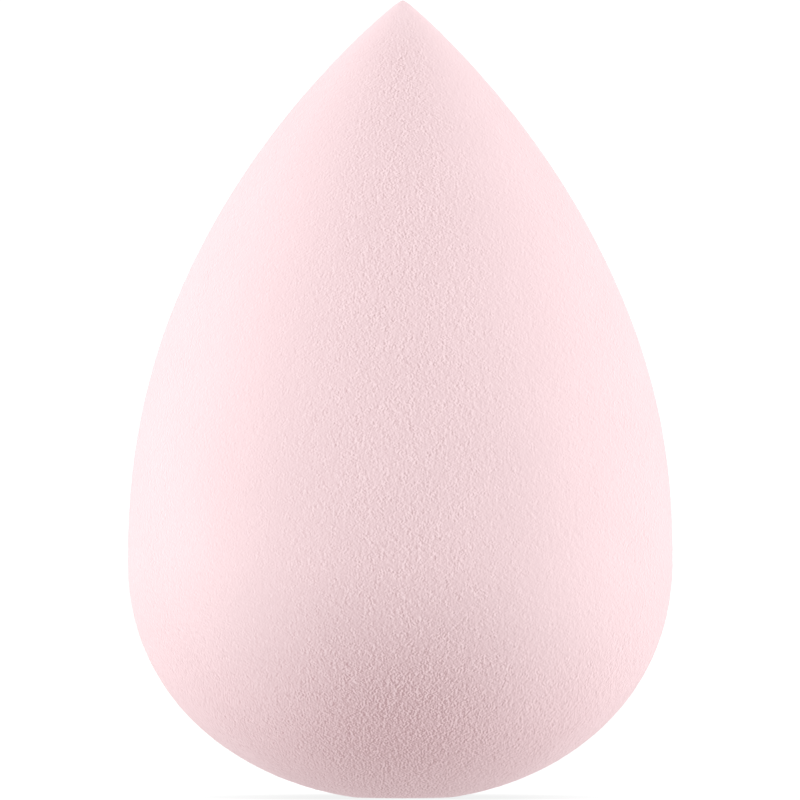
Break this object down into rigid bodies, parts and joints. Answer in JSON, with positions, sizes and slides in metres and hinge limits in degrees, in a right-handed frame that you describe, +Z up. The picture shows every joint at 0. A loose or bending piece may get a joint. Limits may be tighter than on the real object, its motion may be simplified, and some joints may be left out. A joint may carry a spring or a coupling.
{
  "type": "makeup sponge",
  "caption": "Teardrop makeup sponge of soft pale pink foam with fine pores, pointed at the top, full and round at the base, for blending liquid and cream makeup.",
  "frame": {"origin": "centre of the resting face under the base, on the sponge's own axis", "axes": "+Z up the axis from the resting face to the tip; the sponge is round about Z, so +X and +Y are interchangeable"},
  "size_m": [0.041, 0.041, 0.06],
  "materials": {
    "foam": "matte"
  },
  "bodies": {
    "root": {"sponge": "foam"}
  },
  "joints": []
}
